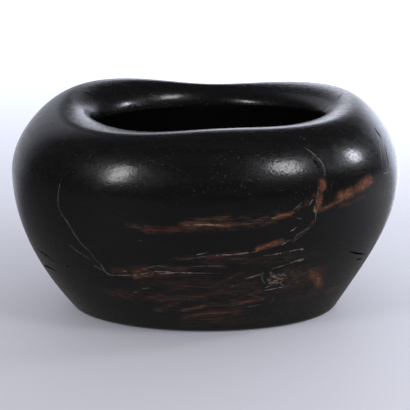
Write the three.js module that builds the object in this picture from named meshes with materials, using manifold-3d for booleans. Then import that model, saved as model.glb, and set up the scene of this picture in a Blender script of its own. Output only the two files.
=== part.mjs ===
import * as THREE from 'three';
import { mergeVertices } from 'three/addons/utils/BufferGeometryUtils.js';
import Module from 'manifold-3d';

// A freeform bowl, carved and hollowed from one block of black hardwood, with its natural shakes
// and one knot filled with a pale filler. Millimetres, +Z up, the origin in the middle of the
// foot's flat face, +X along the grain to the right, and -Y towards whoever faces the bowl.
// Angles are in degrees round the bowl, 0 at its right end and -90 at the middle of its front. A
// place on the outside also has a level: 0 at the foot, 1 at the belly and 2 at the rim's crest.

// The foot, the flat oval that the bowl stands on
const footHalfWidth = 103.5;
const footHalfDepth = 67;
const footEdgeRound = 3;

// The belly, the widest level of the outside
const bellyHeight = 110;
const bellyHalfWidth = 150;
const bellyToFront = 115;
const bellyToBack = 115;
const bellyShiftRight = 0.5;

// How the outside runs from the belly down to the foot and up to the rim
const lowerWallCurve = 0.31;
const lowerWallCurveRight = 0.3;
const upperWallFullness = -0.033;

// The rim's crest, an oval that swells at its corners and waves up and down
const rimHeight = 161.5;
const rimHalfWidth = 107.7;
const rimToFront = 76;
const rimToBack = 84.5;
const rimShiftRight = 1.8;
const rimSquareness = 2.6;
const rimTwist = 3.5;
const rimThreeLobes = 1.9;
const rimRiseBack = 5.6;
const rimSaddle = 1.7;
const rimSaddleTwist = 1.8;
const rimThreeWaves = 2.9;

// The mouth, where the rolled lip ends: a nearly level oval that tips and waves a little
const mouthHeight = 147.6;
const mouthRiseRight = 2.3;
const mouthRiseBack = 0.9;
const mouthSaddle = 1.6;
const mouthHalfWidth = 90;
const mouthToFront = 55;
const mouthToBack = 69;
const mouthShiftRight = 2.6;
const mouthSquareness = 1.83;

// How tightly the lip turns over at its crest: 1 is a quarter of an ellipse, and more is tighter
const lipEdge = 1.15;
const lipEdgeRight = 0.15;

// The hollow: it widens below the mouth, and a round bottom closes it
const hollowHeight = 90;
const wallAtEnds = 30;
const wallAtSides = 29;
const bottomThickness = 24;
const hollowBottomFullness = 0.06;

// The fillings. A strip is a wedge: straight sides down to its shoulder, then narrower down to
// its keel, and less wide and deep at its two ends, all given as shares of its own full size.
const seamWidth = 1.8;
const seamDepth = 3.2;
const wedgeShoulder = 0.4;
const wedgeKeel = 0.6;
const wedgeEnd = 0.45;
const fillGap = 0.3;
const proudAboveWood = 3;

// The knot low on the right of the front, and how far its two short fillings lie from its edge
const knotAngle = -60.2;
const knotLevel = 0.448;
const knotHalfWidth = 7.6;
const knotHalfHeight = 6;
const knotLumps = 0.07;
const knotDepth = 6;
const knotShoulderTaper = 0.95;
const knotBottomTaper = 0.7;
const fillAboveKnot = 3.9;
const fillBelowKnot = 3.5;

// The open drying checks at the two ends
const checkWidth = 1.3;
const checkDepth = 4.5;

// The fineness of the faces
const columns = 80;
const footRoundSteps = 3;
const lowerWallSteps = 11;
const upperWallSteps = 12;
const lipSteps = 6;
const undercutSteps = 6;
const hollowSteps = 8;
const strideAlongSeam = 6;
const fewestSeamSteps = 3;
const knotSides = 20;

const rad = THREE.MathUtils.degToRad;

// One level of the bowl: an oval with its own reach to the front and to the back. A squareness
// of 2 is an ellipse and more is squarer; twist and lobes make the outline freeform.
function oval(angle, { halfWidth, front, back, right = 0, squareness = 2, twist = 0, lobes = 0 }) {
  const c = Math.cos(angle);
  const s = Math.sin(angle);
  const halfDepth = (front + back) / 2 + (back - front) / 2 * s;
  const reach = Math.abs(c / halfWidth) ** squareness + Math.abs(s / halfDepth) ** squareness;
  const bulges = twist * Math.sin(2 * angle) + lobes * Math.sin(3 * angle);
  const radius = reach ** (-1 / squareness) + bulges;
  return new THREE.Vector2(right + radius * c, radius * s);
}

const footOval = (angle) => oval(angle, {
  halfWidth: footHalfWidth,
  front: footHalfDepth,
  back: footHalfDepth,
});

const bellyOval = (angle) => oval(angle, {
  halfWidth: bellyHalfWidth,
  front: bellyToFront,
  back: bellyToBack,
  right: bellyShiftRight,
});

const rimOval = (angle) => oval(angle, {
  halfWidth: rimHalfWidth,
  front: rimToFront,
  back: rimToBack,
  right: rimShiftRight,
  squareness: rimSquareness,
  twist: rimTwist,
  lobes: rimThreeLobes,
});

const mouthOval = (angle) => oval(angle, {
  halfWidth: mouthHalfWidth,
  front: mouthToFront,
  back: mouthToBack,
  right: mouthShiftRight,
  squareness: mouthSquareness,
});

const hollowOval = (angle) => oval(angle, {
  halfWidth: bellyHalfWidth - wallAtEnds,
  front: bellyToFront - wallAtSides,
  back: bellyToBack - wallAtSides,
  right: bellyShiftRight,
});

// The crest's height waves: higher at the back than at the front, and at the ends than between
const crestHeight = (angle) => rimHeight
  + rimRiseBack * Math.sin(angle)
  + rimSaddle * Math.cos(2 * angle)
  - rimSaddleTwist * Math.sin(2 * angle)
  + rimThreeWaves * Math.sin(3 * angle);

const mouthLevel = (angle) => mouthHeight
  + mouthRiseRight * Math.cos(angle)
  + mouthRiseBack * Math.sin(angle)
  + mouthSaddle * Math.cos(2 * angle);

const between = (from, to, share, height) => new THREE.Vector3(
  from.x + (to.x - from.x) * share,
  from.y + (to.y - from.y) * share,
  height,
);

// The wall from the foot (share 0) to the belly (share 1), with the foot's edge rounded over
function lowerWall(angle, share) {
  const height = bellyHeight * share;
  const curve = lowerWallCurve + lowerWallCurveRight * Math.cos(angle);
  const lean = (1 - share) ** 2 * (1 + curve * share);
  const point = between(bellyOval(angle), footOval(angle), lean, height);
  if (height < footEdgeRound) {
    const under = 1 - height / footEdgeRound;
    const inset = footEdgeRound * (1 - Math.sqrt(1 - under ** 2));
    point.x -= inset * Math.cos(angle);
    point.y -= inset * Math.sin(angle);
  }
  return point;
}

// The shoulder from the belly (share 0) over to the rim's crest (share 1)
function upperWall(angle, share) {
  const turn = share * Math.PI / 2;
  const full = 1 + upperWallFullness * Math.sin(2 * turn) ** 2;
  const height = bellyHeight + (crestHeight(angle) - bellyHeight) * Math.sin(turn) * full;
  return between(rimOval(angle), bellyOval(angle), Math.cos(turn) * full, height);
}

// The lip rolls in from the crest (share 0) until it stands upright at the mouth (share 1)
function lip(angle, share) {
  const turn = share * Math.PI / 2;
  const top = crestHeight(angle);
  const height = top - (top - mouthLevel(angle)) * (1 - Math.cos(turn));
  const inward = Math.sin(turn) ** (lipEdge + lipEdgeRight * Math.cos(angle));
  return between(rimOval(angle), mouthOval(angle), inward, height);
}

// Below the mouth (share 0) the hollow widens to its widest level (share 1)
function undercut(angle, share) {
  const height = mouthLevel(angle) + (hollowHeight - mouthLevel(angle)) * share;
  return between(mouthOval(angle), hollowOval(angle), 1 - (1 - share) ** 2, height);
}

// The hollow's round bottom, from its widest level (share 0) to the middle (share 1)
function hollowBottom(angle, share) {
  const turn = share * Math.PI / 2;
  const full = 1 + hollowBottomFullness * Math.sin(2 * turn) ** 2;
  const height = hollowHeight - (hollowHeight - bottomThickness) * Math.sin(turn) * full;
  return between(new THREE.Vector2(bellyShiftRight, 0), hollowOval(angle), Math.cos(turn) * full, height);
}

// Every ring of the bowl in turn, from the edge of the foot's face, up the outside, over the
// rim and down the inside
function bowlRings() {
  const rings = [];
  const addRings = (stretch, shares) => shares.forEach((share) => {
    rings.push((angle) => stretch(angle, share));
  });
  const even = (steps, first = 1) => Array.from({ length: steps + 1 - first }, (_, i) => (i + first) / steps);
  const footRoundTop = footEdgeRound / bellyHeight;
  const footRound = even(footRoundSteps, 0).map((turn) => footRoundTop * (1 - Math.cos(turn * Math.PI / 2)));
  addRings(lowerWall, footRound);
  addRings(lowerWall, even(lowerWallSteps).map((share) => footRoundTop + (1 - footRoundTop) * share));
  addRings(upperWall, even(upperWallSteps));
  addRings(lip, even(lipSteps));
  addRings(undercut, even(undercutSteps));
  addRings(hollowBottom, even(hollowSteps).slice(0, -1));
  return rings;
}

function geometryFrom(points, triangles) {
  const places = points.flatMap((point) => point.toArray());
  const geometry = new THREE.BufferGeometry();
  geometry.setAttribute('position', new THREE.Float32BufferAttribute(places, 3));
  geometry.setIndex(triangles.flat());
  return geometry;
}

// Joins rings of equal count into a closed skin, with one point that closes each end
function closedLoft(rings, firstEnd, lastEnd) {
  const count = rings[0].length;
  const points = [...rings.flat(), firstEnd, lastEnd];
  const first = points.length - 2;
  const last = points.length - 1;
  const top = (rings.length - 1) * count;
  const triangles = [];
  for (let column = 0; column < count; column += 1) {
    const next = (column + 1) % count;
    triangles.push([first, next, column]);
    for (let ring = 0; ring < rings.length - 1; ring += 1) {
      const low = ring * count;
      const high = low + count;
      triangles.push([low + column, low + next, high + next]);
      triangles.push([low + column, high + next, high + column]);
    }
    triangles.push([top + column, top + next, last]);
  }
  return geometryFrom(points, triangles);
}

function bowlGeometry() {
  const angles = Array.from({ length: columns }, (_, i) => i * 2 * Math.PI / columns);
  const rings = bowlRings().map((ring) => angles.map(ring));
  const underFoot = new THREE.Vector3(0, 0, 0);
  const hollowMiddle = new THREE.Vector3(bellyShiftRight, 0, bottomThickness);
  return closedLoft(rings, underFoot, hollowMiddle);
}

function outsidePoint(angle, level) {
  return level < 1 ? lowerWall(angle, level) : upperWall(angle, level - 1);
}

function outsideNormal(angle, level) {
  const nudge = 0.01;
  const round = outsidePoint(angle + nudge, level).sub(outsidePoint(angle - nudge, level));
  const up = outsidePoint(angle, level + nudge).sub(outsidePoint(angle, level - nudge));
  return round.cross(up).normalize();
}

// A smooth line over the outside, through points given as [angle in degrees, level]
function lineOnBowl(points) {
  const levelRise = bellyHeight / bellyHalfWidth;
  const flat = points.map(([angle, level]) => new THREE.Vector3(rad(angle), level * levelRise, 0));
  const curve = new THREE.CatmullRomCurve3(flat, false, 'centripetal');
  const steps = Math.max(fewestSeamSteps, Math.ceil(curve.getLength() * bellyHalfWidth / strideAlongSeam));
  return curve.getSpacedPoints(steps).map((place) => {
    const level = place.y / levelRise;
    return { at: outsidePoint(place.x, level), out: outsideNormal(place.x, level) };
  });
}

// A strip that follows a line: a wedge that stands above the wood, tapers towards its two ends
// and narrows with depth. With a gap it is the groove that takes the same strip.
function stripGeometry(points, width, depth, gap) {
  const line = lineOnBowl(points);
  const rings = line.map(({ at, out }, i) => {
    const before = line[Math.max(i - 1, 0)].at;
    const after = line[Math.min(i + 1, line.length - 1)].at;
    const along = after.clone().sub(before).normalize();
    const across = along.clone().cross(out).normalize();
    const share = i / (line.length - 1);
    const taper = wedgeEnd + (1 - wedgeEnd) * Math.sqrt(Math.sin(share * Math.PI));
    const half = width / 2 * taper + gap;
    const corner = (side, rise) => at.clone().addScaledVector(across, side).addScaledVector(out, rise);
    const shoulder = -depth * taper * wedgeShoulder;
    const keel = -depth * taper - gap;
    const ring = [
      corner(half, proudAboveWood),
      corner(half, shoulder),
      corner(half * wedgeKeel, keel),
      corner(-half * wedgeKeel, keel),
      corner(-half, shoulder),
      corner(-half, proudAboveWood),
    ];
    const endwise = i === 0 ? -gap : i === line.length - 1 ? gap : 0;
    return ring.map((p) => p.addScaledVector(along, endwise));
  });
  const middleOf = (ring) => {
    const sum = ring.reduce((total, p) => total.add(p), new THREE.Vector3());
    return sum.divideScalar(ring.length);
  };
  return closedLoft(rings, middleOf(rings[0]), middleOf(rings.at(-1)));
}

// The knot's plug: a short tapering stub with a lumpy oval outline, square to the outside
function plugGeometry(gap) {
  const at = outsidePoint(rad(knotAngle), knotLevel);
  const out = outsideNormal(rad(knotAngle), knotLevel);
  const across = new THREE.Vector3(0, 0, 1).cross(out).normalize();
  const rise = out.clone().cross(across);
  const outline = (scale, sink) => Array.from({ length: knotSides }, (_, i) => {
    const turn = i * 2 * Math.PI / knotSides;
    const lump = 1 + knotLumps * Math.sin(3 * turn + 1) + knotLumps / 2 * Math.sin(5 * turn);
    return at.clone()
      .addScaledVector(across, (knotHalfWidth * lump * scale + gap) * Math.cos(turn))
      .addScaledVector(rise, (knotHalfHeight * lump * scale + gap) * Math.sin(turn))
      .addScaledVector(out, -sink);
  });
  const rings = [
    outline(knotBottomTaper, knotDepth + gap),
    outline(knotShoulderTaper, knotDepth / 2),
    outline(1, -proudAboveWood),
  ];
  const bottom = at.clone().addScaledVector(out, -knotDepth - gap);
  const top = at.clone().addScaledVector(out, proudAboveWood);
  return closedLoft(rings, bottom, top);
}

const wasm = await Module();
wasm.setup();

function solidFrom(geometry) {
  const merged = mergeVertices(geometry, 1e-5);
  return new wasm.Manifold(new wasm.Mesh({
    numProp: 3,
    vertProperties: new Float32Array(merged.attributes.position.array),
    triVerts: new Uint32Array(merged.index.array),
  }));
}

function geometryOf(solid) {
  const mesh = solid.getMesh();
  const geometry = new THREE.BufferGeometry();
  geometry.setAttribute('position', new THREE.BufferAttribute(mesh.vertProperties, 3));
  geometry.setIndex(new THREE.BufferAttribute(mesh.triVerts, 1));
  geometry.computeVertexNormals();
  return geometry;
}

const overKnot = knotLevel + (knotHalfHeight + fillAboveKnot) / bellyHeight;
const underKnot = knotLevel - (knotHalfHeight + fillBelowKnot) / bellyHeight;

// The filled shakes, each a line of [angle, level] points on the outside
const filledShakes = {
  left_seam_fill: [
    [-141.7, 1.195], [-142.5, 0.925], [-139.2, 0.809], [-136.8, 0.705], [-133.2, 0.618], [-131, 0.518],
  ],
  left_branch_fill: [[-141.8, 0.662], [-138.3, 0.614], [-134.4, 0.573]],
  upper_right_seam_fill: [[-51, 1.58], [-48.8, 1.49], [-47, 1.358], [-47.5, 1.219]],
  right_seam_fill: [[-50.3, 1.148], [-51.5, 0.985], [-51.3, 0.859]],
  upper_streak_fill: [[-98, 0.882], [-90.7, 0.887], [-83.5, 0.884]],
  middle_streak_fill: [[-100.3, 0.629], [-88.7, 0.662], [-72.5, 0.682], [-69.8, 0.709], [-60.3, 0.749]],
  lower_streak_fill: [
    [-129.5, 0.468], [-123, 0.482], [-115.8, 0.501], [-109.2, 0.531], [-97, 0.531], [-83.5, 0.529],
  ],
  short_dash_fill: [[-74, 0.473], [-67.5, 0.505]],
  right_dash_fill: [[-68.5, 0.645], [-54.5, 0.675]],
  knot_upper_fill: [
    [knotAngle - 3.8, overKnot], [knotAngle + 2.4, overKnot + 0.028], [knotAngle + 6.7, overKnot + 0.053],
  ],
  knot_lower_fill: [[knotAngle - 3.8, underKnot], [knotAngle + 5.2, underKnot + 0.014]],
};

// The open checks, by where they start and end: two at the left end, two low at the right end
// and one on the right shoulder
const openChecks = [
  [[-162.5, 0.524], [-152.5, 0.468]],
  [[-166, 0.373], [-155.7, 0.391]],
  [[-33, 0.582], [-18.2, 0.481]],
  [[-24, 0.473], [-19, 0.45]],
  [[-15.7, 1.59], [-15.3, 1.43]],
];

const carvedBlock = solidFrom(bowlGeometry());

const stripSolid = (points, gap) => solidFrom(stripGeometry(points, seamWidth, seamDepth, gap));
const plugSolid = (gap) => solidFrom(plugGeometry(gap));
const checkSolid = (points) => solidFrom(stripGeometry(points, checkWidth, checkDepth, 0));

const grooves = [
  ...Object.values(filledShakes).map((points) => stripSolid(points, fillGap)),
  plugSolid(fillGap),
  ...openChecks.map(checkSolid),
];
const bowlSolid = grooves.reduce((wood, groove) => wood.subtract(groove), carvedBlock);

const blackWood = () => new THREE.MeshStandardMaterial({ color: 0x15100f, roughness: 0.32, metalness: 0 });
const paleFiller = () => new THREE.MeshStandardMaterial({ color: 0xb59467, roughness: 0.6, metalness: 0 });
const strawFiller = () => new THREE.MeshStandardMaterial({ color: 0x9c7645, roughness: 0.55, metalness: 0 });

const bowl = new THREE.Group();

function addPiece(name, solid, material) {
  const mesh = new THREE.Mesh(geometryOf(solid), material);
  mesh.name = name;
  bowl.add(mesh);
}

addPiece('bowl_body', bowlSolid, blackWood());
for (const [name, points] of Object.entries(filledShakes)) {
  addPiece(name, carvedBlock.intersect(stripSolid(points, 0)), paleFiller());
}
addPiece('knot_plug', carvedBlock.intersect(plugSolid(0)), strawFiller());

export default bowl;
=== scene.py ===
import math

import bpy
import numpy as np
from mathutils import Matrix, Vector


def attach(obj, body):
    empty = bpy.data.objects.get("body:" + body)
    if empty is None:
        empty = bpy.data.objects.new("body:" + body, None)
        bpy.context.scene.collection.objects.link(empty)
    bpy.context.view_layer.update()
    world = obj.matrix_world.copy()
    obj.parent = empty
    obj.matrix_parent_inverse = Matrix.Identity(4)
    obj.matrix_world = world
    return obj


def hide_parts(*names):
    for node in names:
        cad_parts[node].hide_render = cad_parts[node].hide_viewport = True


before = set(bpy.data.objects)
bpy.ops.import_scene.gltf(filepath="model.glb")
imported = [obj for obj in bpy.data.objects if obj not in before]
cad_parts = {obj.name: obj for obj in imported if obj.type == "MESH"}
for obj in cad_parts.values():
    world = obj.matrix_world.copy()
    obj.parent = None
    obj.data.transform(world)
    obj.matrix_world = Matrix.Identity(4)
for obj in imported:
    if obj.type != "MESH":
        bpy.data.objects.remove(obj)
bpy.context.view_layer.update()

# The camera looks along +Y from 15 degrees above the table, a metre away. The lens and a small
# shift put the bowl where the photograph has it: LOOK_AT shows in row 200 of its 410 rows.
PICTURE_PIXELS = 410
FOCAL_PIXELS = 1275
LOOK_AT_ROW = 200
LOOK_AT = Vector((0, 0, 0.0847))
CAMERA_DISTANCE = 1.0
CAMERA_ELEVATION = math.radians(15)


def new_object(name, data):
    """A new object in the scene, with this mesh, lamp or camera."""
    thing = bpy.data.objects.new(name, data)
    bpy.context.scene.collection.objects.link(thing)
    return thing


camera_data = bpy.data.cameras.new("camera")
camera_data.lens = camera_data.sensor_width * FOCAL_PIXELS / PICTURE_PIXELS
camera_data.shift_y = (LOOK_AT_ROW - PICTURE_PIXELS / 2) / PICTURE_PIXELS
camera = new_object("camera", camera_data)
camera_side = Vector((0, -math.cos(CAMERA_ELEVATION), math.sin(CAMERA_ELEVATION)))
camera.location = LOOK_AT + CAMERA_DISTANCE * camera_side
camera.rotation_euler = camera_side.to_track_quat("Z", "Y").to_euler()
bpy.context.scene.camera = camera

# The bowl's body is one block of black ebony, sawn from the trunk, then carved and hollowed by
# hand into a freeform bowl with a fat rolled lip and a flat oval foot, and polished. Its form is a
# rule: ovals at the foot, belly, rim, mouth and hollow, with one smooth stretch between each two.
BOWL_SIZES = {
    "foot half width": 0.1035,
    "foot half depth": 0.067,
    "foot edge round": 0.003,
    "belly height": 0.110,
    "belly half width": 0.150,
    "belly half depth": 0.115,
    "belly shift right": 0.0005,
    "rim height": 0.1615,
    "rim half width": 0.1077,
    "rim to front": 0.076,
    "rim to back": 0.0845,
    "rim shift right": 0.0018,
    "rim twist": 0.0035,
    "rim lobes": 0.0019,
    "rim rise back": 0.0056,
    "rim saddle": 0.0017,
    "rim saddle twist": 0.0018,
    "rim three waves": 0.0029,
    "mouth height": 0.1476,
    "mouth rise right": 0.0023,
    "mouth rise back": 0.0009,
    "mouth saddle": 0.0016,
    "mouth half width": 0.090,
    "mouth to front": 0.055,
    "mouth to back": 0.069,
    "mouth shift right": 0.0026,
    "hollow height": 0.090,
    "wall at ends": 0.030,
    "wall at sides": 0.029,
    "bottom thickness": 0.024,
}
RIM_SQUARENESS = 2.6
MOUTH_SQUARENESS = 1.83
LOWER_WALL_CURVE = 0.31
LOWER_WALL_CURVE_RIGHT = 0.3
UPPER_WALL_FULLNESS = -0.033
LIP_EDGE = 1.15
LIP_EDGE_RIGHT = 0.15
HOLLOW_BOTTOM_FULLNESS = 0.06


class Wire:
    """An output of a node that takes part in sums as a number does, so that one rule of the bowl
    serves both the nodes and plain numbers."""

    def __init__(self, tree, socket):
        self.tree = tree
        self.socket = socket

    def work(self, operation, *values):
        node = self.tree.nodes.new("ShaderNodeMath")
        node.operation = operation
        for value, slot in zip(values, node.inputs):
            plug(self.tree, value, slot)
        return Wire(self.tree, node.outputs[0])

    def __add__(self, other):
        return self.work("ADD", self, other)

    def __sub__(self, other):
        return self.work("SUBTRACT", self, other)

    def __rsub__(self, other):
        return self.work("SUBTRACT", other, self)

    def __mul__(self, other):
        return self.work("MULTIPLY", self, other)

    def __truediv__(self, other):
        return self.work("DIVIDE", self, other)

    def __pow__(self, other):
        return self.work("POWER", self, other)

    def __abs__(self):
        return self.work("ABSOLUTE", self)

    __radd__ = __add__
    __rmul__ = __mul__


def plug(tree, value, slot):
    if isinstance(value, Wire):
        tree.links.new(value.socket, slot)
    else:
        slot.default_value = value


def sin(value):
    return value.work("SINE", value) if isinstance(value, Wire) else np.sin(value)


def cos(value):
    return value.work("COSINE", value) if isinstance(value, Wire) else np.cos(value)


def at_least(value, least):
    return value.work("MAXIMUM", value, least) if isinstance(value, Wire) else np.maximum(value, least)


def oval(angle, half_width, front, back, right=0.0, squareness=2.0, twist=0.0, lobes=0.0):
    """The point of an oval at an angle; a squareness over 2 fills its corners."""
    half_depth = (front + back) * 0.5 + (back - front) * 0.5 * sin(angle)
    reach = abs(cos(angle) / half_width) ** squareness + abs(sin(angle) / half_depth) ** squareness
    radius = reach ** (-1 / squareness) + twist * sin(angle * 2) + lobes * sin(angle * 3)
    return right + radius * cos(angle), radius * sin(angle)


def foot_oval(size, angle):
    return oval(angle, size["foot half width"], size["foot half depth"], size["foot half depth"])


def belly_oval(size, angle):
    depth = size["belly half depth"]
    return oval(angle, size["belly half width"], depth, depth, size["belly shift right"])


def rim_oval(size, angle):
    return oval(
        angle, size["rim half width"], size["rim to front"], size["rim to back"],
        size["rim shift right"], RIM_SQUARENESS, size["rim twist"], size["rim lobes"],
    )


def mouth_oval(size, angle):
    return oval(
        angle, size["mouth half width"], size["mouth to front"], size["mouth to back"],
        size["mouth shift right"], MOUTH_SQUARENESS,
    )


def hollow_oval(size, angle):
    depth = size["belly half depth"] - size["wall at sides"]
    width = size["belly half width"] - size["wall at ends"]
    return oval(angle, width, depth, depth, size["belly shift right"])


def crest_height(size, angle):
    return (
        size["rim height"] + size["rim rise back"] * sin(angle) + size["rim saddle"] * cos(angle * 2)
        - size["rim saddle twist"] * sin(angle * 2) + size["rim three waves"] * sin(angle * 3)
    )


def mouth_height(size, angle):
    return (
        size["mouth height"] + size["mouth rise right"] * cos(angle)
        + size["mouth rise back"] * sin(angle) + size["mouth saddle"] * cos(angle * 2)
    )


def between(start, end, share, height):
    return start[0] + (end[0] - start[0]) * share, start[1] + (end[1] - start[1]) * share, height


def foot_face(size, angle, share):
    """The flat foot, from its middle (share 0) to its edge (share 1)."""
    edge = lower_wall(size, angle, 0.0)
    return edge[0] * share, edge[1] * share, edge[2] * share


def lower_wall(size, angle, share):
    """From the foot (share 0) to the belly (share 1), with the foot's edge rounded over."""
    height = size["belly height"] * share
    curve = LOWER_WALL_CURVE + LOWER_WALL_CURVE_RIGHT * cos(angle)
    lean = (1 - share) ** 2 * (1 + curve * share)
    x, y, height = between(belly_oval(size, angle), foot_oval(size, angle), lean, height)
    under = at_least(1 - height / size["foot edge round"], 0.0)
    inset = size["foot edge round"] * (1 - (1 - under ** 2) ** 0.5)
    return x - inset * cos(angle), y - inset * sin(angle), height


def foot_round(size, angle, share):
    """The foot's edge, rounded from the flat foot (share 0) up into the wall (share 1)."""
    top = size["foot edge round"] / size["belly height"]
    return lower_wall(size, angle, top * (1 - cos(share * (math.pi / 2))))


def lower_wall_above_round(size, angle, share):
    top = size["foot edge round"] / size["belly height"]
    return lower_wall(size, angle, top + (1 - top) * share)


def upper_wall(size, angle, share):
    """From the belly (share 0) over the shoulder to the rim's crest (share 1)."""
    turn = share * (math.pi / 2)
    full = 1 + UPPER_WALL_FULLNESS * sin(turn * 2) ** 2
    belly = size["belly height"]
    height = belly + (crest_height(size, angle) - belly) * sin(turn) * full
    return between(rim_oval(size, angle), belly_oval(size, angle), cos(turn) * full, height)


def lip(size, angle, share):
    """Rolls in from the crest (share 0) until it stands upright at the mouth (share 1)."""
    turn = share * (math.pi / 2)
    top = crest_height(size, angle)
    height = top - (top - mouth_height(size, angle)) * (1 - cos(turn))
    inward = sin(turn) ** (LIP_EDGE + LIP_EDGE_RIGHT * cos(angle))
    return between(rim_oval(size, angle), mouth_oval(size, angle), inward, height)


def undercut(size, angle, share):
    """Widens below the mouth (share 0) to the hollow's widest level (share 1)."""
    top = mouth_height(size, angle)
    height = top + (size["hollow height"] - top) * share
    return between(mouth_oval(size, angle), hollow_oval(size, angle), 1 - (1 - share) ** 2, height)


def hollow_bottom(size, angle, share):
    """The round bottom, from the hollow's widest level (share 0) to its middle (share 1)."""
    turn = share * (math.pi / 2)
    full = 1 + HOLLOW_BOTTOM_FULLNESS * sin(turn * 2) ** 2
    top = size["hollow height"]
    height = top - (top - size["bottom thickness"]) * sin(turn) * full
    middle = size["belly shift right"], 0.0
    return between(middle, hollow_oval(size, angle), cos(turn) * full, height)


# How many rings of faces each stretch has, and how many columns go round. The columns crowd
# towards the front, where the wood shows its figure and its fillings.
STRETCHES = (
    (foot_face, 3),
    (foot_round, 6),
    (lower_wall_above_round, 92),
    (upper_wall, 56),
    (lip, 18),
    (undercut, 9),
    (hollow_bottom, 12),
)
COLUMNS = 430
CROWDING = 0.55
# The flat grid reaches half a metre each way before it is bent into the bowl
GRID_HALF = 0.5
# Points closer than this, in metres, become one
WELD = 0.000002


def new_tree(name, sizes):
    """A Geometry Nodes tree with a named input for each size, and those inputs as wires."""
    tree = bpy.data.node_groups.new(name, "GeometryNodeTree")
    tree.interface.new_socket("Geometry", in_out="INPUT", socket_type="NodeSocketGeometry")
    tree.interface.new_socket("Geometry", in_out="OUTPUT", socket_type="NodeSocketGeometry")
    kinds = {int: "NodeSocketInt", float: "NodeSocketFloat"}
    for label, value in sizes.items():
        kind = kinds.get(type(value), "NodeSocketObject")
        tree.interface.new_socket(label, in_out="INPUT", socket_type=kind)
    start = tree.nodes.new("NodeGroupInput")
    wires = {label: Wire(tree, start.outputs[label]) for label in sizes}
    return tree, Wire(tree, start.outputs["Geometry"]), wires


def socket_in_use(sockets, label):
    """A socket by its number, or the one in use that has this name."""
    if isinstance(label, int):
        return sockets[label]
    return next(socket for socket in sockets if socket.name == label and socket.enabled)


def add(tree, kind, settings, values, output=0):
    """Adds a node with these settings and input values, and gives one of its outputs."""
    node = tree.nodes.new(kind)
    for label, value in settings.items():
        setattr(node, label, value)
    for label, value in values.items():
        plug(tree, value, socket_in_use(node.inputs, label))
    return Wire(tree, socket_in_use(node.outputs, output))


def coordinate(tree, way, axis):
    """One coordinate of a place or a direction."""
    return add(tree, "ShaderNodeSeparateXYZ", {}, {"Vector": way}, axis)


def end_tree(tree, geometry, material):
    """Ends a tree in Realize Instances and Set Material."""
    real = add(tree, "GeometryNodeRealizeInstances", {}, {"Geometry": geometry})
    done = add(tree, "GeometryNodeSetMaterial", {}, {"Geometry": real, "Material": material})
    end = tree.nodes.new("NodeGroupOutput")
    tree.links.new(done.socket, end.inputs[0])


def made_by(tree, name, sizes, start=None):
    """Runs a tree on a start mesh with these sizes, and gives its result as a plain mesh object."""
    thing = new_object(name, start or bpy.data.meshes.new(name + "_start"))
    modifier = thing.modifiers.new(name, "NODES")
    modifier.node_group = tree
    for item in tree.interface.items_tree:
        if item.in_out == "INPUT" and item.name in sizes:
            modifier[item.identifier] = sizes[item.name]
    depsgraph = bpy.context.evaluated_depsgraph_get()
    mesh = bpy.data.meshes.new_from_object(thing.evaluated_get(depsgraph))
    mesh.name = name
    thing.modifiers.remove(modifier)
    thing.data = mesh
    return thing


def carved_block(material):
    """The carved block before its grooves are cut."""
    sizes = {**BOWL_SIZES, "columns": COLUMNS, "crowding": CROWDING}
    tree, _, size = new_tree("carved block", sizes)
    rings = sum(count for _, count in STRETCHES)
    counts = {"Vertices X": size["columns"] + 1, "Vertices Y": rings + 1}
    sheet = add(tree, "GeometryNodeMeshGrid", {}, counts)
    place = add(tree, "GeometryNodeInputPosition", {}, {})
    turn = (coordinate(tree, place, "X") + GRID_HALF) * (2 * math.pi)
    angle = turn - sin(turn) * size["crowding"] - math.pi / 2
    ring = (coordinate(tree, place, "Y") + GRID_HALF) * rings
    chosen = None
    first = 0
    for stretch, count in STRETCHES:
        share = add(tree, "ShaderNodeClamp", {}, {"Value": (ring - first) / count})
        x, y, z = stretch(size, angle, share)
        point = add(tree, "ShaderNodeCombineXYZ", {}, {"X": x, "Y": y, "Z": z})
        if chosen is None:
            chosen = point
        else:
            past = ring.work("GREATER_THAN", ring, float(first))
            choice = {"Switch": past, "False": chosen, "True": point}
            chosen = add(tree, "GeometryNodeSwitch", {"input_type": "VECTOR"}, choice)
        first += count
    shaped = add(tree, "GeometryNodeSetPosition", {}, {"Geometry": sheet, "Position": chosen})
    welded = add(tree, "GeometryNodeMergeByDistance", {}, {"Geometry": shaped, "Distance": WELD})
    end_tree(tree, welded, material)
    return made_by(tree, "carved_block", sizes)


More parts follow.
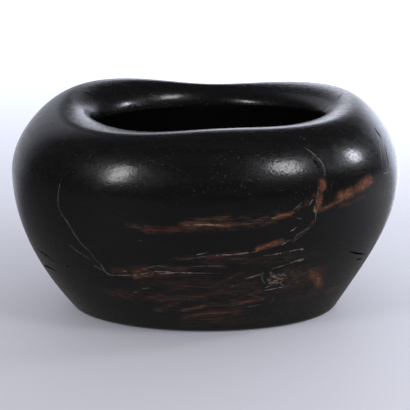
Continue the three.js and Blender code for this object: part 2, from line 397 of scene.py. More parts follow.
# The wood's open marks. A place on the outside is (angle, level): the angle in degrees, 0 at the
# right end and -90 at the middle of the front, and the level 0 at the foot, 1 at the belly, 2 at
# the crest and 3 at the mouth. A line is the width of a shake or sliver and the places that it
# runs through, and a filled shake also has the tone of its filler.
FILLED_SHAKES = {
    "left_seam_fill": (0.0010, "dull", [
        (-141.7, 1.195), (-142.5, 0.925), (-139.2, 0.809), (-136.8, 0.705), (-133.2, 0.618),
        (-131, 0.518),
    ]),
    "left_branch_fill": (0.0009, "dull", [(-141.8, 0.662), (-138.3, 0.614), (-134.4, 0.573)]),
    "upper_right_seam_fill": (0.0012, "dull", [(-51, 1.58), (-48.8, 1.49), (-47, 1.358), (-47.5, 1.219)]),
    "right_seam_fill": (0.0014, "pale", [(-50.3, 1.148), (-51.5, 0.985), (-51.3, 0.859)]),
    "upper_streak_fill": (0.0017, "pale", [(-98, 0.882), (-90.7, 0.887), (-83.5, 0.884)]),
    "middle_streak_fill": (0.0011, "pale", [
        (-100.3, 0.629), (-88.7, 0.662), (-72.5, 0.682), (-69.8, 0.709), (-60.3, 0.749),
    ]),
    "lower_streak_fill": (0.0014, "pale", [
        (-129.5, 0.468), (-123, 0.482), (-115.8, 0.501), (-109.2, 0.531), (-97, 0.531), (-83.5, 0.529),
    ]),
    "short_dash_fill": (0.0015, "pale", [(-74, 0.473), (-67.5, 0.505)]),
    "right_dash_fill": (0.0012, "pale", [(-68.5, 0.645), (-54.5, 0.675)]),
    "knot_upper_fill": (0.0011, "pale", [(-64, 0.538), (-57.8, 0.566), (-53.5, 0.591)]),
    "knot_lower_fill": (0.0014, "pale", [(-64, 0.3616), (-55, 0.3756)]),
}
OPEN_CHECKS = [
    (0.0021, [(-162.5, 0.524), (-157, 0.505), (-152.5, 0.468)]),
    (0.0024, [(-166, 0.373), (-161, 0.392), (-155.7, 0.391)]),
    (0.0017, [(-33, 0.582), (-18.2, 0.481)]),
    (0.0018, [(-24, 0.473), (-19, 0.45)]),
    (0.0011, [(-15.4, 1.40), (-17.6, 1.27), (-18.8, 1.14)]),
    (0.0024, [(-14.3, 1.60), (-15.0, 1.54), (-15.2, 1.44)]),
    (0.0006, [(-35.5, 1.285), (-33.5, 1.305), (-31.3, 1.325)]),
    (0.0014, [(-50.0, 1.43), (-49.2, 1.378), (-48.5, 1.321)]),
    (0.0009, [(9, 2.99), (5.5, 2.75), (4.3, 2.5)]),
    (0.0008, [(5, 2.35), (10, 2.2), (13, 2.05)]),
]
# Small pits where the grain tore out or a worm went in: the size across and the place
PITS = [
    (0.0020, (-59.5, 0.928)), (0.0022, (-110.0, 0.544)), (0.0016, (-60.8, 0.607)),
    (0.0022, (-146.8, 0.472)), (0.0018, (-14.2, 0.411)), (0.0014, (-12.5, 0.425)),
    (0.0013, (-26.5, 0.285)), (0.0012, (-56.6, 0.74)), (0.0014, (-131.5, 0.44)),
    (0.0012, (-98.5, 0.30)), (0.0012, (-43.5, 0.33)), (0.0014, (40.0, 0.62)),
    (0.0018, (118.0, 0.48)), (0.0013, (92.0, 0.35)), (0.0016, (150.0, 0.70)),
]

# A strip follows a line over the bowl. Its section is a wedge, as wide at the top as the line and
# deeper than wide, and a gap makes it the groove that takes the same strip.
STRIP_SIZES = {
    "step": 0.0008,
    "gap": 0.0,
    "wedge depth": 1.8,
    "wedge proud": 0.8,
    "wedge keel": 0.5,
    "end width": 0.12,
    "taper": 0.7,
    "unevenness": 0.45,
    "unevenness grain": 260.0,
    "ripple": 0.00035,
    "ripple grain": 90.0,
    "seed": 3.0,
}
GROOVE_GAP = 0.00006
CHECK_SEED = 7.0
# The least angle between two faces, in radians, that makes their edge a sharp one
SHARP_EDGE = 0.6


def on_outside(angle, level):
    """The point of the uncut bowl at a place."""
    angle = math.radians(angle)
    if level < 1:
        return lower_wall(BOWL_SIZES, angle, level)
    if level < 2:
        return upper_wall(BOWL_SIZES, angle, level - 1)
    return lip(BOWL_SIZES, angle, level - 2)


def lines_mesh(name, lines):
    """Lines over the bowl as points joined by edges; each point keeps its line's width."""
    points, edges, widths = [], [], []
    for width, places in lines:
        first = len(points)
        points += [on_outside(*place) for place in places]
        edges += [(i, i + 1) for i in range(first, len(points) - 1)]
        widths += [width] * len(places)
    mesh = bpy.data.meshes.new(name)
    mesh.from_pydata(points, edges, [])
    mesh.attributes.new("width", "FLOAT", "POINT").data.foreach_set("value", widths)
    return mesh


NOISE_SPREAD = 4.0


def noise(tree, place, grain, seed=0.0, detail=2.0):
    """Smooth noise about 0, seldom past -1 and 1; a higher grain is finer."""
    values = {"Vector": place, "W": seed, "Scale": grain, "Detail": detail}
    return (add(tree, "ShaderNodeTexNoise", {"noise_dimensions": "4D"}, values, 0) - 0.5) * NOISE_SPREAD


def vector(tree, operation, *values):
    return add(tree, "ShaderNodeVectorMath", {"operation": operation}, dict(enumerate(values)), 0)


def scaled(tree, way, amount):
    return add(tree, "ShaderNodeVectorMath", {"operation": "SCALE"}, {"Vector": way, "Scale": amount})


def sharp_where_bent(tree, mesh):
    """Smooth shading, apart from the edges where two faces meet at an angle."""
    bend = add(tree, "GeometryNodeInputMeshEdgeAngle", {}, {}, "Unsigned Angle")
    smooth = add(tree, "GeometryNodeSetShadeSmooth", {}, {"Geometry": mesh})
    bent = bend.work("GREATER_THAN", bend, SHARP_EDGE)
    values = {"Geometry": smooth, "Selection": bent, "Shade Smooth": False}
    return add(tree, "GeometryNodeSetShadeSmooth", {"domain": "EDGE"}, values)


def mesh_of(tree, thing):
    """The mesh of an object that is one of the tree's inputs."""
    return add(tree, "GeometryNodeObjectInfo", {}, {"Object": thing}, "Geometry")


def boolean(tree, operation, first, *others):
    node = tree.nodes.new("GeometryNodeMeshBoolean")
    node.operation = operation
    node.solver = "MANIFOLD"
    plug(tree, first, node.inputs["Mesh 1" if operation == "DIFFERENCE" else "Mesh 2"])
    for other in others:
        plug(tree, other, node.inputs["Mesh 2"])
    return Wire(tree, node.outputs["Mesh"])


def width_here(tree):
    """The width that a point got from its line."""
    return add(tree, "GeometryNodeInputNamedAttribute", {"data_type": "FLOAT"}, {"Name": "width"})


def laid_on_wood(tree, curve, wood, place, size):
    """Brings a curve onto the wood, with a slight sway to its sides, and turns its top outwards."""
    near = add(tree, "GeometryNodeProximity", {"target_element": "FACES"}, {"Geometry": wood}, "Position")
    normal = add(tree, "GeometryNodeInputNormal", {}, {})
    sample = {"Mesh": wood, "Value": normal, "Sample Position": place}
    out = add(tree, "GeometryNodeSampleNearestSurface", {"data_type": "FLOAT_VECTOR"}, sample)
    along = add(tree, "GeometryNodeInputTangent", {}, {})
    across = vector(tree, "CROSS_PRODUCT", along, out)
    sway = noise(tree, place, size["ripple grain"], size["seed"]) * size["ripple"]
    curve = add(tree, "GeometryNodeSetCurveNormal", {"mode": "FREE"}, {"Curve": curve, "Normal": out})
    on_wood = {"Geometry": curve, "Position": near, "Offset": scaled(tree, across, sway)}
    return add(tree, "GeometryNodeSetPosition", {}, on_wood)


def wedge_section(tree, size):
    """A strip's section: its top stands a little proud of the wood, and its keel lies in it."""
    wedge = {
        "Height": size["wedge depth"] + size["wedge proud"],
        "Top Width": 1.0,
        "Bottom Width": size["wedge keel"],
        "Offset": 0.0,
    }
    section = add(tree, "GeometryNodeCurvePrimitiveQuadrilateral", {"mode": "TRAPEZOID"}, wedge)
    sink = add(tree, "ShaderNodeCombineXYZ", {}, {"Y": (size["wedge proud"] - size["wedge depth"]) * 0.5})
    upright = add(tree, "ShaderNodeCombineXYZ", {}, {"Z": -math.pi / 2})
    section = add(tree, "GeometryNodeTransform", {}, {"Geometry": section, "Translation": sink})
    return add(tree, "GeometryNodeTransform", {}, {"Geometry": section, "Rotation": upright})


def strips(name, block, lines, material, inlaid=False, **changes):
    """Strips along lines; inlaid ones end flush with the block's surface."""
    sizes = {**STRIP_SIZES, "block": block, **changes}
    tree, start, size = new_tree(name, sizes)
    wood = mesh_of(tree, size["block"])
    place = add(tree, "GeometryNodeInputPosition", {}, {})
    curve = add(tree, "GeometryNodeMeshToCurve", {}, {"Mesh": start})
    curve = add(tree, "GeometryNodeCurveSplineType", {"spline_type": "CATMULL_ROM"}, {"Curve": curve})
    steps = {"Curve": curve, "Length": size["step"]}
    curve = add(tree, "GeometryNodeResampleCurve", {"mode": "LENGTH"}, steps)
    share = add(tree, "GeometryNodeSplineParameter", {}, {}, "Factor")
    ends = size["end width"] + (1 - size["end width"]) * sin(share * math.pi) ** size["taper"]
    swell = 1 + size["unevenness"] * noise(tree, place, size["unevenness grain"], size["seed"])
    sweep = {
        "Curve": laid_on_wood(tree, curve, wood, place, size),
        "Profile Curve": wedge_section(tree, size),
        "Scale": width_here(tree) * ends * swell + size["gap"] * 2,
        "Fill Caps": True,
    }
    strip = add(tree, "GeometryNodeCurveToMesh", {}, sweep)
    if inlaid:
        strip = boolean(tree, "INTERSECT", strip, wood)
    end_tree(tree, sharp_where_bent(tree, strip), material)
    return made_by(tree, name, sizes, lines_mesh(name + "_lines", lines))


PIT_SIZES = {
    "ball radius": 0.5,
    "ball detail": 3,
    "stretch along": 1.5,
    "flatten": 0.8,
    "lump size": 0.0004,
    "lump grain": 900.0,
    "seed": 5.0,
}


def pits_cutter(name, pits):
    """Lumpy balls, half sunk in the wood, that leave small pits."""
    tree, start, size = new_tree(name, PIT_SIZES)
    ball_sizes = {"Radius": size["ball radius"], "Subdivisions": size["ball detail"]}
    ball = add(tree, "GeometryNodeMeshIcoSphere", {}, ball_sizes, "Mesh")
    width = width_here(tree)
    axes = {"X": width * size["stretch along"], "Y": width, "Z": width * size["flatten"]}
    stretch = add(tree, "ShaderNodeCombineXYZ", {}, axes)
    values = {"Points": start, "Instance": ball, "Scale": stretch}
    balls = add(tree, "GeometryNodeInstanceOnPoints", {}, values)
    balls = add(tree, "GeometryNodeRealizeInstances", {}, {"Geometry": balls})
    place = add(tree, "GeometryNodeInputPosition", {}, {})
    out = add(tree, "GeometryNodeInputNormal", {}, {})
    lump = noise(tree, place, size["lump grain"], size["seed"]) * size["lump size"]
    offset = scaled(tree, out, lump)
    balls = add(tree, "GeometryNodeSetPosition", {}, {"Geometry": balls, "Offset": offset})
    end_tree(tree, balls, None)
    places = lines_mesh(name + "_places", [(width, [at]) for width, at in pits])
    return made_by(tree, name, PIT_SIZES, places)


# The knot low on the right of the front: its outline is an oval with three large lumps, five small
# ones and fine ones between, and its stub narrows inwards. Each ring of the stub has its share of
# that outline and its height over the wood.
KNOT_ANGLE = -60.2
KNOT_LEVEL = 0.448
KNOT_HALF_WIDTH = 0.0076
KNOT_HALF_HEIGHT = 0.006
KNOT_LUMPS = 0.07
KNOT_FINE_LUMPS = 0.03
KNOT_DEPTH = 0.006
KNOT_PROUD = 0.003
KNOT_RINGS = ((0.7, -KNOT_DEPTH), (0.95, -KNOT_DEPTH / 2), (1.0, KNOT_PROUD))
KNOT_SIDES = 90
# How far to each side of a place the wood's slope is felt, in radians and in levels
NUDGE = 0.01


def outward(angle, level):
    """The way straight out of the bowl at a place."""
    turn = math.degrees(NUDGE)
    across = np.subtract(on_outside(angle + turn, level), on_outside(angle - turn, level))
    up = np.subtract(on_outside(angle, level + NUDGE), on_outside(angle, level - NUDGE))
    out = np.cross(across, up)
    return out / np.linalg.norm(out)


def knot_stub(name, gap):
    """The knot's stub; with a gap it is the hole that takes it."""
    at = np.array(on_outside(KNOT_ANGLE, KNOT_LEVEL))
    out = outward(KNOT_ANGLE, KNOT_LEVEL)
    across = np.cross((0, 0, 1), out)
    across /= np.linalg.norm(across)
    rise = np.cross(out, across)
    turns = np.arange(KNOT_SIDES) * 2 * math.pi / KNOT_SIDES
    lump = 1 + KNOT_LUMPS * (np.sin(3 * turns + 1) + np.sin(5 * turns) / 2)
    lump += KNOT_FINE_LUMPS * np.sin(9 * turns) * np.sin(7 * turns + 2)
    points = []
    for scale, height in KNOT_RINGS:
        height -= gap if height < 0 else 0
        wide = (KNOT_HALF_WIDTH * lump * scale + gap) * np.cos(turns)
        tall = (KNOT_HALF_HEIGHT * lump * scale + gap) * np.sin(turns)
        points += list(at + np.outer(wide, across) + np.outer(tall, rise) + out * height)
    side = range(KNOT_SIDES)
    faces = [tuple(reversed(side)), tuple(i + KNOT_SIDES * (len(KNOT_RINGS) - 1) for i in side)]
    for ring in range(len(KNOT_RINGS) - 1):
        low, high = ring * KNOT_SIDES, (ring + 1) * KNOT_SIDES
        for i in side:
            j = (i + 1) % KNOT_SIDES
            faces.append((low + i, low + j, high + j, high + i))
    mesh = bpy.data.meshes.new(name)
    mesh.from_pydata(points, [], faces)
    return new_object(name, mesh)


def cut_block(name, block, cutters, material):
    """The block without what the cutters take."""
    sizes = {cutter.name: cutter for cutter in cutters}
    tree, start, size = new_tree(name, sizes)
    cut = boolean(tree, "DIFFERENCE", start, *(mesh_of(tree, size[label]) for label in sizes))
    end_tree(tree, sharp_where_bent(tree, cut), material)
    return made_by(tree, name, sizes, block.data.copy())


# The wood's figure: brown, red and orange streaks, each with its half width, its strength and the
# places that it runs through
STREAKS = {
    "brown": [
        (0.0036, 0.6, [(-127, 0.50), (-120, 0.535), (-108, 0.555), (-98, 0.56)]),
        (0.0034, 0.5, [(-92, 0.60), (-84, 0.625), (-74, 0.645)]),
        (0.0050, 0.6, [(-86, 0.36), (-78, 0.40), (-70, 0.44)]),
        (0.0040, 0.9, [(-111, 0.30), (-101, 0.32), (-90, 0.33)]),
        (0.0060, 0.9, [(-58, 0.47), (-50, 0.46), (-42, 0.47)]),
        (0.0034, 1.0, [(-100, 0.145), (-92, 0.178), (-83, 0.185), (-73, 0.192)]),
        (0.0030, 1.0, [(-77, 0.272), (-70, 0.31), (-66, 0.34)]),
        (0.0028, 0.55, [(-117.3, 0.856), (-113, 0.856), (-109.5, 0.839)]),
        (0.0030, 0.75, [(-97, 0.892), (-92, 0.912), (-86.8, 0.928), (-82.2, 0.928), (-78, 0.921)]),
        (0.0042, 0.85, [(-85, 0.905), (-78, 0.895), (-71.8, 0.9), (-66, 0.918)]),
        (0.0030, 0.6, [(-96, 0.86), (-88, 0.862), (-80, 0.87)]),
        (0.0030, 0.6, [(-121, 0.49), (-112, 0.51), (-97, 0.525)]),
        (0.0022, 0.5, [(-103, 0.63), (-90, 0.66), (-75, 0.68)]),
        (0.0050, 0.85, [(-52.2, 0.39), (-46.8, 0.4), (-40.5, 0.417)]),
        (0.0034, 0.6, [(-48.8, 0.246), (-42, 0.259), (-36, 0.272)]),
        (0.0026, 0.7, [(-73.8, 0.295), (-68.5, 0.322), (-63.5, 0.348)]),
        (0.0028, 0.8, [(-113.8, 0.2), (-109.5, 0.243), (-104, 0.256)]),
        (0.0022, 0.9, [(-100.8, 0.204), (-95, 0.233), (-89.8, 0.256), (-83.8, 0.26), (-76.8, 0.243)]),
        (0.0040, 0.6, [(-132, 0.305), (-124.2, 0.299)]),
        (0.0050, 0.45, [(-57.7, 0.502), (-48.2, 0.508)]),
        (0.0060, 0.35, [(-75, 0.6), (-60, 0.62), (-48, 0.63)]),
        (0.0060, 0.35, [(-118, 0.42), (-105, 0.45), (-90, 0.47)]),
        (0.0024, 0.7, [(-58, 0.97), (-54, 1.0), (-50, 1.1)]),
        (0.0070, 0.5, [(-100, 0.1), (-85, 0.12), (-70, 0.14)]),
        (0.0024, 0.45, [(-96, 0.58), (-89, 0.587), (-82.5, 0.584)]),
        (0.0016, 0.8, [(-57.8, 0.74), (-54.5, 0.8), (-52, 0.86)]),
    ],
    "red": [
        (0.0030, 0.7, [(-104, 0.40), (-96, 0.42), (-88, 0.425)]),
        (0.0034, 0.7, [(-128, 0.33), (-121, 0.325), (-113, 0.30)]),
        (0.0024, 1.0, [(-111, 0.838), (-104.2, 0.846), (-99, 0.856), (-95, 0.864)]),
        (0.0019, 0.6, [(-86.5, 0.436), (-82.2, 0.462), (-78.5, 0.505), (-75.5, 0.525)]),
        (0.0020, 0.75, [(-115, 0.315), (-112.2, 0.328), (-109, 0.338)]),
        (0.0022, 0.8, [(-101.5, 0.128), (-92.8, 0.158), (-83.2, 0.163), (-72, 0.170)]),
        (0.0016, 0.8, [(-89, 0.646), (-82.8, 0.669), (-77.2, 0.682)]),
        (0.0022, 0.7, [(-42.5, 0.938), (-38, 0.951), (-32.5, 0.977)]),
        (0.0018, 0.8, [(-109, 0.492), (-104.2, 0.505), (-97, 0.52)]),
        (0.0022, 0.5, [(-56.5, 0.36), (-52.5, 0.375), (-48, 0.37)]),
    ],
    "orange": [
        (0.0012, 0.75, [(-96, 0.168), (-88, 0.182), (-80, 0.186), (-73, 0.192)]),
        (0.0020, 0.55, [(-99, 0.884), (-90.7, 0.889), (-82, 0.886)]),
        (0.0020, 1.0, [(-65.5, 0.918), (-62.5, 0.93), (-60, 0.934)]),
        (0.0026, 1.0, [(-50.4, 1.03), (-50.7, 0.985), (-51.4, 0.95)]),
        (0.0020, 0.7, [(-49.8, 0.938), (-45.8, 0.961), (-41, 1.0)]),
        (0.0040, 1.0, [(-42.4, 1.010), (-40.0, 1.024), (-38.6, 1.035)]),
        (0.0030, 0.8, [(-38.6, 1.035), (-34.8, 1.068)]),
        (0.0042, 1.0, [(-34.2, 1.072), (-31.5, 1.096), (-30.2, 1.112)]),
        (0.0030, 1.0, [(-49.0, 1.17), (-49.1, 1.13)]),
        (0.0022, 1.0, [(-70.8, 0.705), (-66.5, 0.725), (-62.6, 0.748)]),
        (0.0024, 0.75, [(-118.2, 0.515), (-115.5, 0.528), (-113.2, 0.554)]),
        (0.0019, 0.8, [(-118.5, 0.476), (-115.2, 0.489), (-111.8, 0.502)]),
        (0.0042, 0.75, [(-45.2, 0.459), (-41, 0.403), (-38, 0.335)]),
        (0.0028, 0.5, [(-30, 0.253), (-25.8, 0.263)]),
        (0.0018, 0.8, [(-73.2, 0.266), (-67.8, 0.279), (-63.2, 0.289)]),
        (0.0016, 0.75, [(-101, 0.21), (-95, 0.236), (-90, 0.25)]),
    ],
}
# How finely a streak is followed, in metres, and how many half widths away it still colours
STREAK_STEP = 0.001
STREAK_REACH = 2.6


def paint(mesh, colours):
    """Gives a mesh one attribute for each colour: its streaks' strength, which fades sideways."""
    places = np.empty(len(mesh.vertices) * 3, np.float32)
    mesh.vertices.foreach_get("co", places)
    places = places.reshape(-1, 3)
    for colour, streaks in colours.items():
        strength = np.zeros(len(places), np.float32)
        for half_width, most, run in streaks:
            points = np.array([on_outside(*place) for place in run])
            length = np.linalg.norm(np.diff(points, axis=0), axis=1).sum()
            steps = np.linspace(0, len(run) - 1, int(length / STREAK_STEP) + 2)
            angles, levels = (np.interp(steps, range(len(run)), values) for values in zip(*run))
            path = np.array([on_outside(*place) for place in zip(angles, levels)], np.float32)
            reach = half_width * STREAK_REACH
            near = np.all((places > path.min(0) - reach) & (places < path.max(0) + reach), axis=1)
            if near.any():
                away = np.linalg.norm(places[near, None] - path[None], axis=2).min(axis=1)
                strength[near] = np.maximum(strength[near], most * np.exp(-((away / half_width) ** 2)))
        mesh.attributes.new(colour, "FLOAT", "POINT").data.foreach_set("value", strength)


def share_of(tree, value, low, high):
    """Runs smoothly from 0 to 1 as a value goes from low to high."""
    settings = {"interpolation_type": "SMOOTHSTEP"}
    return add(tree, "ShaderNodeMapRange", settings, {"Value": value, "From Min": low, "From Max": high})


def blend(tree, share, first, second):
    """A colour between two colours."""
    node = tree.nodes.new("ShaderNodeMix")
    node.data_type = "RGBA"
    plug(tree, share, node.inputs[0])
    plug(tree, first, node.inputs[6])
    plug(tree, second, node.inputs[7])
    return Wire(tree, node.outputs[2])


def painted(tree, colour):
    return add(tree, "ShaderNodeAttribute", {"attribute_name": colour}, {}, "Fac")


def new_material(name, values):
    """A material with these values on the Principled shader's own sockets."""
    material = bpy.data.materials.new(name)
    material.use_nodes = True
    tree = material.node_tree
    shader = tree.nodes["Principled BSDF"]
    for label, value in values.items():
        shader.inputs[label].default_value = value
    return material, tree, shader


def finish_material(tree, shader, colour, roughness, height, distance):
    """Plugs a colour, a roughness and a bump of this depth in metres into the shader."""
    plug(tree, colour, shader.inputs["Base Color"])
    plug(tree, roughness, shader.inputs["Roughness"])
    bump = add(tree, "ShaderNodeBump", {}, {"Height": height, "Distance": distance, "Strength": 1.0})
    plug(tree, bump, shader.inputs["Normal"])
    if shader.inputs["Coat Weight"].default_value > 0:
        plug(tree, bump, shader.inputs["Coat Normal"])


WOOD_POLISH = {"Specular IOR Level": 0.17, "Coat Weight": 0.50, "Coat Roughness": 0.125}
# The grain runs along X, so what follows the grain is stretched that way
ALONG_GRAIN = (0.09, 1.0, 1.0)
BLACK = (0.0041, 0.0041, 0.0044, 1)
BLACK_WARM = (0.0056, 0.0050, 0.0048, 1)
FLECK = (0.035, 0.031, 0.028, 1)
# Each colour of streak from its deepest to its brightest grain, how strongly the ragged grain
# breaks it up, and how strongly soft patches do
STREAK_COLOURS = {
    "brown": ((0.018, 0.0095, 0.006, 1), (0.062, 0.033, 0.019, 1), 1.5, 0.3),
    "red": ((0.020, 0.007, 0.006, 1), (0.062, 0.019, 0.016, 1), 1.5, 0.3),
    "orange": ((0.070, 0.025, 0.011, 1), (0.185, 0.066, 0.029, 1), 0.12, 0.35),
}
# The wood's patterns: how fine each is, its seed and its detail
WOOD_PATTERNS = {
    "fine": (800.0, 1.0, 3.0),
    "coarse": (190.0, 2.0, 3.0),
    "layers": (26.0, 4.0, 2.0),
    "pores": (2600.0, 6.0, 1.0),
    "light": (700.0, 7.0, 3.0),
    "flecks": (420.0, 8.0, 2.0),
    "mottle": (620.0, 9.0, 2.0),
    "patches": (150.0, 13.0, 2.0),
}
# The patterns that are alike in all directions, while the others follow the grain
ALIKE_ALL_WAYS = ("flecks", "mottle", "patches")
PIN_HOLE_GRAIN = 420.0
RAGGED_FINE = 0.60
RAGGED_COARSE = 0.20
STREAK_EVENNESS = 0.75
LOW_FIGURE = 0.8
FLECKS_SHOWN = 0.6
# From which value of a pattern a finish begins to show, and at which it is full
WARM_AT = (-0.3, 0.6)
LIGHT_AT = (-0.5, 0.7)
STREAK_AT = (0.02, 0.80)
BACK_LAYERS_AT = (0.25, 0.9)
LOW_LAYERS_AT = (-0.3, 0.9)
FIGURE_AT = (-0.25, 0.4)
PORES_AT = (0.42, 0.62)
FLECKS_AT = (0.50, 0.62)
FLECKED_GRAIN_AT = (0.1, 0.5)
PIN_HOLE_WIDTH = (0.26, 0.12)
PIN_HOLE_CHANCE = (0.55, 0.60)
OPEN_GRAIN_AT = (0.0, 0.5)
# Where plain figure and flecks lie, in metres behind the middle and above the table
BACK_FIGURE_DEPTH = (0.0, 0.06)
BACK_FIGURE_HEIGHT = (0.13, 0.09)
LOW_FIGURE_HEIGHT = (0.078, 0.045)
FLECKS_HEIGHT = (0.08, 0.05)
# What each pattern adds to the roughness, and to the relief in shares of its depth in metres
WOOD_ROUGHNESS = {"polish": 0.28, "coarse": 0.05, "streaks": 0.20, "pores": 0.2, "pin holes": 0.5}
WOOD_RELIEF = {"fine": 0.2, "mottle": 0.5, "pores": -0.3, "pin holes": -3.0, "open grain": -0.8}
WOOD_RELIEF_DEPTH = 0.000045


def grain_place(tree):
    place = add(tree, "ShaderNodeTexCoord", {}, {}, "Object")
    return place, vector(tree, "MULTIPLY", place, ALONG_GRAIN)


def plain_figure(tree, place, layers, ragged):
    """Brown figure in layers, low on the outside and higher up at the back."""
    depth = coordinate(tree, place, "Y")
    height = coordinate(tree, place, "Z")
    at_back = share_of(tree, depth, *BACK_FIGURE_DEPTH) * share_of(tree, height, *BACK_FIGURE_HEIGHT)
    at_back = at_back * share_of(tree, layers, *BACK_LAYERS_AT)
    low = share_of(tree, height, *LOW_FIGURE_HEIGHT) * share_of(tree, layers, *LOW_LAYERS_AT)
    return at_least(at_back, low * LOW_FIGURE) * share_of(tree, ragged, *FIGURE_AT)


def pin_holes(tree, place):
    """Small round holes, in some of the cells of a pattern."""
    cells = {"Vector": place, "Scale": PIN_HOLE_GRAIN}
    to_middle = add(tree, "ShaderNodeTexVoronoi", {}, cells, "Distance")
    chance = coordinate(tree, add(tree, "ShaderNodeTexVoronoi", {}, cells, "Color"), "X")
    return share_of(tree, to_middle, *PIN_HOLE_WIDTH) * share_of(tree, chance, *PIN_HOLE_CHANCE)


def ebony():
    """Polished black wood: dark grain, streaks of colour broken up along the grain, and pores."""
    material, tree, shader = new_material("black_wood", WOOD_POLISH)
    place, along = grain_place(tree)
    wood = {
        label: noise(tree, place if label in ALIKE_ALL_WAYS else along, *pattern)
        for label, pattern in WOOD_PATTERNS.items()
    }
    colour = blend(tree, share_of(tree, wood["coarse"], *WARM_AT), BLACK, BLACK_WARM)
    ragged = wood["fine"] * RAGGED_FINE + wood["coarse"] * RAGGED_COARSE
    light = share_of(tree, wood["light"], *LIGHT_AT)
    streaks = 0.0
    for name, (deep, bright, by_grain, by_patches) in STREAK_COLOURS.items():
        even = STREAK_EVENNESS + ragged * by_grain + wood["patches"] * by_patches
        share = share_of(tree, painted(tree, name) * even, *STREAK_AT)
        colour = blend(tree, share, colour, blend(tree, light, deep, bright))
        streaks = at_least(share, streaks)
    figure = plain_figure(tree, place, wood["layers"], ragged)
    deep, bright, _, _ = STREAK_COLOURS["brown"]
    colour = blend(tree, figure, colour, blend(tree, light, deep, bright))
    flecks = share_of(tree, wood["flecks"], *FLECKS_AT) * share_of(tree, wood["coarse"], *FLECKED_GRAIN_AT)
    flecks = flecks * share_of(tree, coordinate(tree, place, "Z"), *FLECKS_HEIGHT)
    colour = blend(tree, flecks * FLECKS_SHOWN, colour, FLECK)
    finish = {
        **wood,
        "polish": 1.0,
        "pores": share_of(tree, wood["pores"], *PORES_AT),
        "pin holes": pin_holes(tree, place),
        "streaks": streaks,
        "open grain": streaks * share_of(tree, wood["fine"], *OPEN_GRAIN_AT),
    }
    roughness = sum(finish[label] * amount for label, amount in WOOD_ROUGHNESS.items())
    relief = sum(finish[label] * amount for label, amount in WOOD_RELIEF.items())
    finish_material(tree, shader, colour, roughness, relief, WOOD_RELIEF_DEPTH)
    return material


black_wood = ebony()
block = carved_block(black_wood)
cutters = [
    strips("open_checks", block, OPEN_CHECKS, None, seed=CHECK_SEED),
    strips("grooves", block, [(line[0], line[2]) for line in FILLED_SHAKES.values()], None, gap=GROOVE_GAP),
    pits_cutter("pits", PITS),
    knot_stub("knot_hole", GROOVE_GAP),
]
bowl = cut_block("bowl", block, cutters, black_wood)
for cutter in cutters:
    bpy.data.objects.remove(cutter)
paint(bowl.data, STREAKS)
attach(bowl, "root")
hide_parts("bowl_body")

# The long shakes in the front are filled with a mix of glue and pale wood dust, pressed in, left
# to set and rubbed down flush. It has dark specks of ebony dust in it and is worn away in places.
PALE = (0.180, 0.144, 0.117, 1)
DULL = (0.070, 0.069, 0.066, 1)
FILLER_DARK = (0.022, 0.015, 0.012, 1)
FILLER_ORANGE = STREAK_COLOURS["orange"][1]
FILLER_SHEEN = {"Specular IOR Level": 0.3}
DUST_GRAIN = 1000.0
DUST_PATCH_GRAIN = 170.0
DUST_PATCHES = 0.7
DULL_AT = (0.2, 0.9)
ORANGE_AT = (0.3, 0.8)
FILLER_ROUGHNESS = 0.5
FILLER_ROUGHNESS_CHANGE = 0.1
DARK_SINKS = 1.5
FILLER_RELIEF_DEPTH = 0.00006
# Where the pale filler is dull and thin, as streaks
DULL_STRETCHES = [
    (0.0035, 0.5, [(-128, 0.472), (-124, 0.483), (-117, 0.495)]),
    (0.0035, 1.0, [(-94, 0.531), (-88, 0.53), (-82, 0.529)]),
    (0.0035, 1.0, [(-103, 0.622), (-96, 0.642), (-90, 0.66)]),
    (0.0035, 0.8, [(-69, 0.643), (-65, 0.652)]),
    (0.0035, 0.8, [(-50.3, 1.148), (-50.9, 1.06)]),
    (0.0035, 0.8, [(-51.5, 0.91), (-51.3, 0.859)]),
]


def filler(name, tone, dark_from, dark_to):
    """Dull filler with dark specks; where an orange streak crosses it, it takes that colour."""
    material, tree, shader = new_material(name, FILLER_SHEEN)
    place, _ = grain_place(tree)
    specks = noise(tree, place, DUST_GRAIN, seed=3.0, detail=3.0)
    patches = noise(tree, place, DUST_PATCH_GRAIN, seed=5.0)
    dark = share_of(tree, specks + patches * DUST_PATCHES, dark_from, dark_to)
    colour = blend(tree, share_of(tree, painted(tree, "dull"), *DULL_AT), tone, DULL)
    colour = blend(tree, share_of(tree, painted(tree, "orange"), *ORANGE_AT), colour, FILLER_ORANGE)
    colour = blend(tree, dark, colour, FILLER_DARK)
    roughness = FILLER_ROUGHNESS + FILLER_ROUGHNESS_CHANGE * patches
    finish_material(tree, shader, colour, roughness, specks - dark * DARK_SINKS, FILLER_RELIEF_DEPTH)
    return material


FILLERS = {
    "pale": filler("pale_filler", PALE, dark_from=-0.40, dark_to=0.60),
    "dull": filler("dull_filler", DULL, dark_from=0.0, dark_to=0.9),
}
for node, (width, tone, run) in FILLED_SHAKES.items():
    piece = strips(node.replace("_fill", "_filler"), block, [(width, run)], FILLERS[tone], inlaid=True)
    paint(piece.data, {"orange": STREAKS["orange"], "dull": DULL_STRETCHES})
    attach(piece, "root")
    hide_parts(node)

# The knot's own wood was rotten, so its hole is plugged with a paste of straw-coloured chips and
# dark dust, set hard and rubbed down flush.
STRAW = (0.205, 0.152, 0.110, 1)
PLUG_DARK = (0.026, 0.017, 0.012, 1)
CHIPS_LIE_FLAT = (1.0, 1.0, 1.7)
CHIP_GRAIN = 330.0
PASTE_GRAIN = 1100.0
PASTE_IN_COLOUR = 0.45
PASTE_IN_RELIEF = 0.3
CHIPS_AT = (-0.15, 0.60)
PASTE_ROUGHNESS = 0.55
CHIPS_SMOOTHER = 0.1
PASTE_RELIEF_DEPTH = 0.0002


